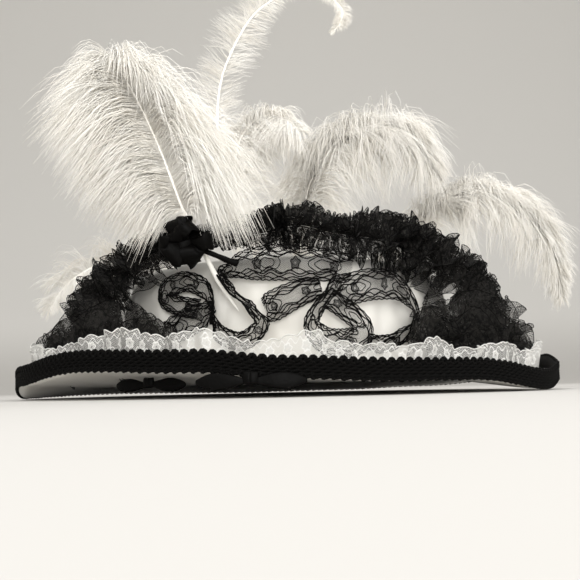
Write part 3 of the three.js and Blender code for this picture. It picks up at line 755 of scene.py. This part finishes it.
def ruffle(name, lowest_reach, upper_reach, rows, seed):
    """Frills fanned round one line, from below it over its outer side to its top."""
    stations = table_curve(rows, RUFFLE_STEPS)
    line = stations[:, :3] * MM
    radius = stations[:, 3] * MM
    ahead = unit(np.gradient(line, axis=0))
    out = line * (1, 1, 0)
    out = unit(out - ahead * (out * ahead).sum(1, keepdims=True))
    up = np.cross(ahead, out)
    up *= np.sign(up[:, 2:])
    at = np.linspace(0, 1, RUFFLE_STEPS)
    line = line + ahead * np.linspace(-RUFFLE_PAST, RUFFLE_PAST, RUFFLE_STEPS)[:, None]
    length = np.linalg.norm(np.diff(line, axis=0), axis=1).sum()
    waves = int(length / RUFFLE_GATHER)
    strips = []
    for frill, degrees in enumerate(np.linspace(RUFFLE_LOWEST, RUFFLE_LAST, RUFFLE_FRILLS)):
        key = seed * 100 + frill * 7
        tilt = np.radians(degrees + RUFFLE_STRAY * wander(at, 5, key + 1))
        gather = wander(at, waves, key + 2)
        sway = wander(at, waves, key + 3)
        stretch = np.interp(degrees, [RUFFLE_LOWEST, 0, 80, RUFFLE_LAST], [lowest_reach, 1, upper_reach, 1])
        reach = radius * stretch * (0.88 + 0.26 * wander(at, 7, key + 4))
        flat = np.cumsum(np.hypot(np.gradient(gather) * RUFFLE_DEPTH, length / RUFFLE_STEPS))
        scallop = RUFFLE_SCALLOP_HEIGHT * np.abs(np.sin(np.pi * flat / RUFFLE_SCALLOP))
        columns = []
        for share in np.linspace(0.02, 1, RUFFLE_ACROSS):
            angle = (tilt + RUFFLE_SWING * share * gather)[:, None]
            far = (reach * share + scallop * share ** 5)[:, None]
            slide = ahead * (RUFFLE_SLIDE * share * sway)[:, None]
            columns.append(line + slide + (out * np.cos(angle) + up * np.sin(angle)) * far + HAT)
        strips.append(np.stack(columns, 1))
    made, width = cloth("black_lace_" + name, strips, black_lace)
    edges = np.stack([strip[::2, -1] for strip in strips])
    cord = new_object("black_lace_cord_" + name, tubes(edges, RUFFLE_CORD, 3), gimp)
    for piece in (made, cord):
        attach(piece, "root")
    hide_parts("black_ruffle_" + name)
    flat_size(made, width)


for seed, (name, (lowest_reach, upper_reach, rows)) in enumerate(RUFFLES.items(), 1):
    ruffle(name, lowest_reach, upper_reach, rows, seed)

# Net lace ribbon. A narrow black galloon of fine net with corded edges, wavy inner cords and a flower in
# a ring every few centimetres. It is laid in loops and folds on the crown's front and caught down at
# their ends.
RIBBONS = {
    # each row: x and z in mm, mm out from the crown, half width in mm, tilt of the width in degrees
    "top": [(58, 109, 5, 12, 15), (24, 112, 10, 15, 5), (-10, 114, 12, 16, 0), (-36, 112, 13, 13, -10),
            (-54, 107, 12, 6, -30), (-60, 104, 12, 3, -30)],
    "drop": [(-59, 110, 14, 7, 82), (-53, 99, 15, 8, 82), (-45, 89, 16, 8, 80), (-35, 79, 17, 8, 76),
             (-26, 70, 18, 8, 66), (-21, 60, 18, 8, 48), (-27, 51, 17, 8, 26), (-40, 46, 15, 8, 10),
             (-53, 51, 13, 8, 12), (-60, 60, 11, 8, 40), (-66, 72, 9, 8, 60)],
    "left": [(-64, 62, 8, 7, 60), (-64, 78, 10, 8, 50), (-70, 92, 11, 9, 20), (-86, 101, 11, 9, 5),
             (-103, 98, 9, 10, 0), (-108, 88, 8, 9, 0), (-94, 80, 9, 9, 0), (-76, 76, 7, 9, 10)],
    "left_loop": [(-108, 56, 2, 11, 0), (-92, 62, 8, 13, 0), (-76, 69, 9, 13, 5), (-62, 78, 8, 7, 30)],
    "tail": [(-18, 73, 7, 10, 0), (-12, 75, 8, 13, 0), (6, 84, 9, 12, 0), (30, 93, 2, 9, 0)],
    "centre_loop": [(46, 98, 5, 9, 20), (38, 86, 10, 8, 40), (28, 74, 15, 8, 45), (22, 61, 17, 9, 30),
                    (28, 48, 17, 11, 10), (44, 42, 16, 13, 0), (60, 46, 15, 12, 5), (64, 58, 14, 9, 20),
                    (50, 72, 12, 9, 10), (36, 82, 8, 9, 10)],
    "right_loop": [(46, 84, 9, 12, 5), (64, 92, 10, 14, 5), (88, 95, 12, 14, 8), (107, 87, 13, 12, 18),
                   (115, 72, 13, 10, 26), (111, 57, 13, 9, 28), (98, 47, 11, 8, 22), (82, 42, 6, 8, 10),
                   (69, 45, 4, 7, 0)],
}
RIBBON_STEPS = 110
RIBBON_ACROSS = 11
RIBBON_CORD = 0.55 * MM
RIBBON_CORD_STEP = 1.4 * MM
# place across as a share of the half width, swing as the same share, and wavelength in mm
RIBBON_LINES = [(0.95, 0.04, 5), (0.82, 0.05, 9), (0.66, 0.10, 13), (0.42, 0.14, 18)]
FLOWER_PITCH = 36 * MM
RING_STEPS = 26
# the rings round a flower: mm along the ribbon, and across as a share of its half width
FLOWER_RINGS = [(9.5, 0.44), (5.5, 0.26)]
RIBBON_CUP = 1.5 * MM
RIBBON_RIPPLE = 0.8 * MM

net_lace = Finish("net_lace", (0.007, 0.0065, 0.006), 0.85, Specular_IOR_Level=0.25)
lace_look(net_lace, 1.2 * MM, 0.06, 0.16, [(FLOWER_PITCH, 0.0, 4.4 * MM, 5)],
          [(6.2 * MM, 1.2 * MM, 18 * MM, 0.5 * MM), (-6.2 * MM, 1.2 * MM, 18 * MM, 0.5 * MM)])


def crown_front(x, z):
    """y of the crown's front wall."""
    share = table_read(CROWN_PROFILE, np.clip((z - CROWN_FOOT) / MM, 0, CROWN_TALL))
    across = np.minimum(np.abs(x) / (CROWN_HALF_WIDTH * share), 0.98)
    return -CROWN_HALF_LENGTH * share * np.sqrt(1 - across * across)


def ribbon_frame(rows):
    """At each step the ribbon's middle, the vector to its edge, and the vector out of its face."""
    x, z, out, half, tilt = table_curve(rows, RIBBON_STEPS).T
    x, z, out, half = (column * MM for column in (x, z, out, half))
    middle = np.stack([x, crown_front(x, z) - out, z], 1)
    ahead = unit(np.gradient(middle, axis=0))
    away = middle / (CROWN_HALF_WIDTH, CROWN_HALF_LENGTH, 1) * (1, 1, 0)
    away = unit(away - ahead * (away * ahead).sum(1, keepdims=True))
    turn = np.radians(tilt)[:, None]
    wide = np.cross(ahead, away) * np.cos(turn) + away * np.sin(turn)
    return np.hstack([middle + HAT, wide * half[:, None], np.cross(ahead, wide)])


def on_ribbon(steps, along, across, seed):
    """Points of the ribbon's rippled surface. along runs from 0 to 1, across from -1 to 1."""
    along, across = np.broadcast_arrays(along, across)
    at = np.linspace(0, 1, len(steps))
    read = np.stack([np.interp(along, at, column) for column in steps.T], -1)
    ripple = RIBBON_CUP * across ** 2 * wander(along * 0.9, 5, seed)
    ripple = ripple + RIBBON_RIPPLE * wander(along * 0.9 + 0.3 * across, 4, seed + 5)
    return read[..., :3] + read[..., 3:6] * across[..., None] + read[..., 6:] * ripple[..., None]


def ribbon_cords(steps, length, seed):
    """The corded edges, the wavy inner cords and the rings round the flowers."""
    along = np.linspace(0, 1, int(length / RIBBON_CORD_STEP))
    run = 2 * np.pi * along * length
    lines = []
    for side in (-1, 1):
        for place, swing, wavelength in RIBBON_LINES:
            lines.append(side * (place + swing * np.sin(run / (wavelength * MM) + 2 * side * place)))
    shapes = [tubes(on_ribbon(steps, along, line, seed)[None], RIBBON_CORD, 4) for line in lines]
    turn = np.linspace(0, 2 * np.pi, RING_STEPS, endpoint=False)
    for middle in np.arange(FLOWER_PITCH / 2, length, FLOWER_PITCH):
        for reach, wide in FLOWER_RINGS:
            ring_along = np.clip((middle + reach * MM * np.cos(turn)) / length, 0, 1)
            ring_across = wide * np.sin(turn) * (1 + 0.15 * np.cos(5 * turn))
            ring = on_ribbon(steps, ring_along, ring_across, seed)
            shapes.append(tubes(ring[None], RIBBON_CORD * 0.85, 4, closed=True))
    return joined(shapes)


def lace_ribbon(name, rows, seed):
    steps = ribbon_frame(rows)
    length = np.linalg.norm(np.diff(steps[:, :3], axis=0), axis=1).sum()
    along = np.linspace(0, 1, RIBBON_STEPS)[:, None]
    across = np.linspace(-1, 1, RIBBON_ACROSS)[None]
    grid = on_ribbon(steps, along, across, seed)
    made, width = cloth("net_ribbon_" + name, [grid], net_lace, centred=True)
    cords = new_object("net_ribbon_cords_" + name, ribbon_cords(steps, length, seed), gimp)
    for piece in (made, cords):
        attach(piece, "root")
    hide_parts("lace_ribbon_" + name)
    flat_size(made, width)


for seed, (name, rows) in enumerate(RIBBONS.items(), 40):
    lace_ribbon(name, rows, seed)

# Satin knot. Black satin ribbon wound once and tied round the front plume's shaft at the crown's edge, in
# an uneven bunch of eight puffed loops, with its end drawn out flat towards the lower right.
KNOT = np.array([-84, -174, 128]) * MM
KNOT_SPREAD = 2.5 * MM
# tip from the knot's middle, half width and puff in mm, and the way that its width lies
KNOT_LOOPS = [
    ((-4, -5, 17), 12, 6, (0.9, -0.35, 0.2)), ((9, -8, 14), 11, 7, (0.6, -0.35, -0.6)),
    ((21, -6, 3), 8, 6, (-0.2, -0.35, 0.9)), ((-14, -7, 13), 10, 6, (0.6, -0.4, 0.6)),
    ((-23, -6, -5), 10, 5, (0.1, -0.4, 0.9)), ((-14, -9, -14), 11, 6, (-0.6, -0.3, 0.7)),
    ((3, -10, -17), 13, 7, (0.95, -0.2, 0.1)), ((15, -7, -12), 10, 5, (0.6, -0.4, 0.7)),
    ((44, 2, -18), 2.6, 2, (0.4, -0.3, 0.85)),
]
# half width and the two radii in mm, and lean in degrees
KNOT_WRAPS = [(6, (9, 9), 24)]
SATIN_THICKNESS = 0.9 * MM

black_satin = Finish("black_satin", (0.002, 0.0018, 0.0016), 0.5, Specular_IOR_Level=0.05)
black_satin.feed("Roughness", black_satin.noise(70.0, 2.0) * 0.25 + 0.35)
black_satin.bump(black_satin.noise(45.0, 3.0) + black_satin.noise(240.0, 2.0) * 0.2, 1.4 * MM, 0.7)


def satin_band(middle, wide, thick, sides=10):
    """A flat band with round edges. wide and thick are the vectors to its edge and face at each step."""
    turn = 2 * np.pi * np.arange(sides)[None, :, None] / sides
    points = middle[:, None] + wide[:, None] * np.cos(turn) + thick[:, None] * np.sin(turn)
    steps = len(middle)
    caps = np.stack([np.arange(sides)[::-1], (steps - 1) * sides + np.arange(sides)])
    faces = [grid_faces(steps, sides, ring_columns=True), caps]
    return points.reshape(-1, 3), faces, np.zeros((steps * sides, 2))


def satin_loop(start, tip, half_width, puff, width_way, seed, steps=26):
    """A loop that leaves start, turns at tip and comes back, pinched at its root."""
    run = np.linspace(0, 1, steps)[:, None]
    width_way = np.array(width_way, float)
    depth = unit(np.cross(tip, width_way))
    middle = start + tip * np.sin(np.pi * run) + depth * puff * np.sin(2 * np.pi * run)
    ahead = unit(np.gradient(middle, axis=0))
    wide = unit(width_way - ahead * (ahead @ width_way)[:, None])
    width = half_width * (0.25 + 0.75 * np.sin(np.pi * run) ** 0.7) * (1 + 0.08 * wander(run, 3, seed))
    middle = middle + wide * 1.2 * MM * wander(run, 2, seed + 1)
    return satin_band(middle, wide * width, np.cross(ahead, wide) * SATIN_THICKNESS)


def satin_wrap(centre, half_width, radii, lean, seed, steps=30):
    """A turn of ribbon round a knot's middle. lean tips it from level, in degrees."""
    turn = np.linspace(0, 2 * np.pi, steps)
    tip = np.array(Matrix.Rotation(math.radians(lean), 3, "Y"))
    ring = np.stack([radii[0] * np.cos(turn), radii[1] * np.sin(turn), np.zeros(steps)], 1) @ tip.T
    wide = tip @ np.array([0, 0, 1.0])
    ahead = unit(np.gradient(ring, axis=0))
    width = half_width * (1 + 0.12 * wander(turn / (2 * np.pi), 4, seed))[:, None]
    return satin_band(centre + ring, wide * width, np.cross(ahead, wide) * SATIN_THICKNESS * 1.2)


knot_shapes = []
knot_chance = np.random.default_rng(61)
for seed, (tip, half_width, puff, width_way) in enumerate(KNOT_LOOPS, 60):
    root = KNOT + HAT + knot_chance.normal(0, KNOT_SPREAD, 3)
    knot_shapes.append(satin_loop(root, np.array(tip) * MM, half_width * MM, puff * MM, width_way, seed))
for seed, (half_width, radii, lean) in enumerate(KNOT_WRAPS, 70):
    knot_shapes.append(satin_wrap(KNOT + HAT, half_width * MM, np.array(radii) * MM, lean, seed))
satin_knot = outward(new_object("black_satin_knot", joined(knot_shapes), black_satin))
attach(satin_knot, "root")
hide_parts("satin_knot")

# Ostrich plumes. Each is a bleached feather: a tapering shaft with thousands of soft barbs on both sides,
# which cling in locks and fall under their own weight. The shafts are tucked behind the lace and sewn to
# the crown.
PLUMES = {
    # the way that its face looks, barbs, how far they stand forward, how much they stray in degrees, and
    # rows of x, y, z, length of the left and right barbs in mm, and how much they fall
    "front": ((0, -1, 0.15), 4600, 0.12, 8, [
        (-40, -161, 72, 0, 0, 0), (-58, -160, 100, 0, 0, 0), (-80, -166, 148, 0, 0, 2.4),
        (-87, -169, 162, 62, 88, 2.5), (-97, -169, 190, 82, 110, 2.8), (-106, -168, 214, 94, 112, 2.7),
        (-118, -170, 242, 98, 98, 2.5), (-130, -174, 266, 96, 78, 2.3), (-139, -180, 283, 56, 50, 2.4)]),
    "left": ((0, -1, 0.5), 1200, 0.3, 20, [
        (-104, 34, 128, 0, 0, 0), (-140, 48, 146, 26, 40, 1.4), (-180, 58, 152, 36, 60, 1.6),
        (-220, 64, 142, 36, 56, 1.6), (-248, 66, 122, 28, 40, 1.4), (-262, 67, 100, 14, 18, 1)]),
    "hood": ((0, -1, 0.2), 1700, 0.4, 14, [
        (-28, 0, 128, 0, 0, 0), (-42, 10, 180, 30, 44, 1.4), (-52, 16, 232, 38, 60, 1.6),
        (-46, 18, 274, 44, 66, 2),
        (-24, 12, 296, 42, 72, 2.6), (2, 2, 292, 34, 64, 2.6), (18, -6, 274, 20, 36, 2)]),
    "centre": ((0, -1, 0.35), 3100, 0.9, 32, [
        (16, 24, 128, 0, 0, 0), (18, 36, 178, 50, 70, 1.8), (30, 44, 232, 74, 96, 2.6),
        (56, 48, 272, 92, 112, 3.4),
        (92, 46, 290, 100, 118, 3.8), (128, 40, 284, 80, 104, 3.6), (152, 34, 260, 46, 80, 3),
        (164, 30, 232, 22, 40, 2)]),
    "right": ((0, -1, 0.35), 3100, 0.9, 32, [
        (88, 62, 128, 0, 0, 0), (126, 76, 168, 38, 54, 1.8), (170, 84, 206, 66, 90, 2.6),
        (214, 84, 224, 84, 108, 3.6),
        (256, 80, 212, 74, 100, 3.6), (288, 74, 178, 46, 80, 3), (304, 70, 136, 28, 50, 2.2),
        (306, 68, 104, 14, 24, 1.6)]),
    "tall": ((0, -1, 0.1), 2000, 0.1, 5, [
        (-44, 62, 128, 0, 0, 0), (-66, 76, 214, 24, 24, 0.2), (-76, 86, 300, 36, 36, 0.3),
        (-72, 94, 366, 40, 40, 0.3),
        (-52, 99, 420, 38, 38, 0.3), (-26, 102, 458, 28, 28, 0.5), (12, 102, 479, 14, 14, 0.8),
        (50, 100, 476, 13, 13, 0.9), (73, 97, 456, 15, 15, 0.8), (71, 95, 436, 12, 12, 0.6),
        (60, 94, 425, 6, 6, 0.4)]),
}
SHAFT_STEPS = 200
SHAFT_RADII = [0.3, 2.4, 1.6, 1.0, 0.4]
SHAFT_RADII_AT = [0, 0.12, 0.25, 0.6, 1]
BARB_POINTS = 6
BARB_RADIUS = 0.36 * MM
BARBS_IN_LOCK = 7
UPPER_FALL = 0.5
SHAFT_SIDES = 6
BARB_SIDES = 3
# mm of both barbs together at which the vane begins
VANE_BEGINS = 8
# degrees from square to the shaft, and what the last barbs add as they fan out round the tip
BARB_SLANT = 18
TIP_SLANT = 42
TIP_SHARE = 9
# the range of a lock's and a barb's length and fall, as shares, and how much each curls
LOCK_REACH = (0.72, 1.08)
BARB_REACH = (0.8, 1.05)
LOCK_FALL = (0.7, 1.3)
BARB_FALL = (0.85, 1.15)
LOCK_CURL = 0.22
BARB_CURL = 0.14
STRAIGHT_UP = np.array([0, 0, 1.0])

plume_finish = Finish("ostrich_plume", (0.90, 0.875, 0.82), 0.75, Sheen_Weight=0.3, Sheen_Roughness=0.6)
_, strand_painted_shade = plume_finish.map()
# Painted shade: the plumes' colour is lighter and darker by a noise and by a share given to each lock,
# standing in for the shading between the locks.
plume_painted_shade = (plume_finish.noise(28.0, 2.0) * 0.6 + strand_painted_shade * 0.4).eased(0.25, 0.75)
plume_finish.feed("Base Color", plume_finish.blend(plume_painted_shade, (0.84, 0.80, 0.725), (0.94, 0.92, 0.87)))


def plume(name, facing, count, forward, stray, rows, seed):
    rng = np.random.default_rng(seed)
    stations = table_curve(rows, SHAFT_STEPS)
    shaft = stations[:, :3] * MM
    left, right, droop = np.maximum(stations[:, 3:].T, 0)
    ahead = unit(np.gradient(shaft, axis=0))
    side = unit(np.cross(ahead, np.array(facing, float)))
    front = np.cross(side, ahead)
    at = np.linspace(0, 1, SHAFT_STEPS)

    def read(table, places):
        """Rows of a table along the shaft at places from 0 to 1."""
        return np.stack([np.interp(places, at, column) for column in np.atleast_2d(table.T)], -1)

    def by_lock(values):
        """A value for each barb, the same in each lock."""
        return np.repeat(values, BARBS_IN_LOCK, axis=0)[:count]

    locks = -(-count // BARBS_IN_LOCK)
    first = at[left + right > VANE_BEGINS][0]
    root_at = by_lock(first + (1 - first) * rng.uniform(0, 1, locks)) + rng.normal(0, 0.012, count)
    root_at = np.clip(root_at, first, 1)
    way = by_lock(rng.choice([-1.0, 1.0], locks))
    reach = np.where(way > 0, np.interp(root_at, at, right), np.interp(root_at, at, left)) * MM
    reach *= by_lock(rng.uniform(*LOCK_REACH, locks)) * rng.uniform(*BARB_REACH, count)
    fall = np.interp(root_at, at, droop) * by_lock(rng.uniform(*LOCK_FALL, locks))
    fall *= rng.uniform(*BARB_FALL, count)
    # barbs on the shaft's upper side fall over further than those below it
    fall *= 1 + UPPER_FALL * way * read(side, root_at)[:, 2]
    lift = np.abs(forward + by_lock(rng.normal(0, 0.3 + 0.1 * forward, locks)) + rng.normal(0, 0.1, count))
    slant = np.radians(BARB_SLANT + TIP_SLANT * root_at ** TIP_SHARE + by_lock(rng.normal(0, stray, locks)))
    way_out = read(side, root_at) * (way * np.cos(slant))[:, None]
    way_out += read(ahead, root_at) * np.sin(slant)[:, None]
    way_out += read(front, root_at) * lift[:, None]

    run = np.linspace(0, 1, BARB_POINTS)
    curl = by_lock(rng.normal(0, LOCK_CURL, (locks, 3))) + rng.normal(0, BARB_CURL, (count, 3))
    heading = way_out[:, None] - STRAIGHT_UP * (fall[:, None] * run ** 0.9)[..., None]
    heading = unit(heading + curl[:, None] * np.sin(3.5 * run)[:, None])
    steps = heading[:, :-1] * (reach / (BARB_POINTS - 1))[:, None, None]
    paths = np.concatenate([np.zeros((count, 1, 3)), np.cumsum(steps, 1)], 1)
    paths += read(shaft, root_at)[:, None]
    barb_radii = BARB_RADIUS * (1.05 - 0.8 * run)
    points, faces, uv = tubes(paths + HAT, barb_radii, BARB_SIDES, up=(0.12, 0.97, 0.2))
    # Each barb's painted shade, mostly shared by its lock, goes into the UV map's second column for the
    # plume's colour.
    barb_painted_shade = by_lock(rng.uniform(0, 0.6, locks)) + rng.uniform(0, 0.4, count)
    uv[:, 1] = np.repeat(barb_painted_shade, BARB_POINTS * BARB_SIDES)
    barbs = new_object("plume_" + name + "_barbs", (points, faces, uv), plume_finish)
    shaft_radii = np.interp(at, SHAFT_RADII_AT, SHAFT_RADII) * MM
    shaft_tube = tubes(shaft[None] + HAT, shaft_radii, SHAFT_SIDES)
    quill = new_object("plume_" + name + "_shaft", shaft_tube, plume_finish)
    for piece in (barbs, quill):
        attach(piece, "root")
    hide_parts("plume_" + name)


for seed, (name, (facing, count, forward, stray, rows)) in enumerate(PLUMES.items(), 80):
    plume(name, facing, count, forward, stray, rows, seed)

# Bows. Two small flat bows of the black satin ribbon, sewn to the brim's front below the braid: two loops
# that widen from a tight middle knot, and two short ends.
BOWS = {
    # x, z, half width, half height, distance from the hat's axis and thickness, all in mm
    "front": (-26, 12.5, 40, 6.5, 266.6, 4),
    "left": (-108, 11.5, 33, 5.5, 232, 4),
}
BOW_STEPS = 24


def bow(name, x, z, half_width, half_height, radius, thickness, seed):
    x, z, half_width, half_height, radius, thickness = (
        value * MM for value in (x, z, half_width, half_height, radius, thickness))

    def bent(along, deep, high):
        """A place on the bow, bent round the hat."""
        turn = math.asin(x / radius) + along / radius
        far = radius + deep
        return np.stack([far * np.sin(turn), -far * np.cos(turn), z + high], -1) + HAT

    shapes = []
    run = np.linspace(0, 1, BOW_STEPS)
    for way in (-1, 1):
        along = way * half_width * np.sin(np.pi * run)
        deep = thickness * (0.5 + 0.32 * np.sin(2 * np.pi * run))
        sag = -0.08 * half_height * np.sin(np.pi * run) + 0.05 * half_height * wander(run, 3, seed + way)
        middle = bent(along, deep, sag)
        width = half_height * (0.25 + 0.7 * np.sin(np.pi * np.sin(np.pi * run) ** 1.4))
        wide = np.array([0, 0, 1.0]) * width[:, None]
        ahead = unit(np.gradient(middle, axis=0))
        shapes.append(satin_band(middle, wide, np.cross(ahead, unit(wide)) * 0.6 * MM))
        end_along = way * half_width * (0.1 + 0.62 * run)
        end = bent(end_along, thickness * (0.6 + 0.2 * run), -half_height * (0.15 + 0.62 * run))
        ahead = unit(np.gradient(end, axis=0))
        wide = unit(np.array([0, 0, 1.0]) - ahead * ahead[:, 2:])
        shapes.append(satin_band(end, wide * (half_height * (0.2 + 0.16 * run))[:, None],
                                 np.cross(ahead, wide) * 0.5 * MM))
    turn = np.linspace(0, 2 * np.pi, BOW_STEPS)
    around = 0.13 * half_width * np.sin(turn)
    ring = bent(around, thickness * (0.5 + 0.5 * np.cos(turn)), 0 * turn + 0.3 * half_height)
    tall = np.tile([0, 0, 0.7 * half_height], (BOW_STEPS, 1))
    ahead = unit(np.gradient(ring, axis=0))
    shapes.append(satin_band(ring, tall, np.cross(ahead, unit(tall)) * 0.7 * MM))
    made = outward(new_object("satin_bow_" + name, joined(shapes), black_satin))
    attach(made, "root")
    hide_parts("bow_" + name)


for seed, (name, sizes) in enumerate(BOWS.items(), 90):
    bow(name, *sizes, seed)
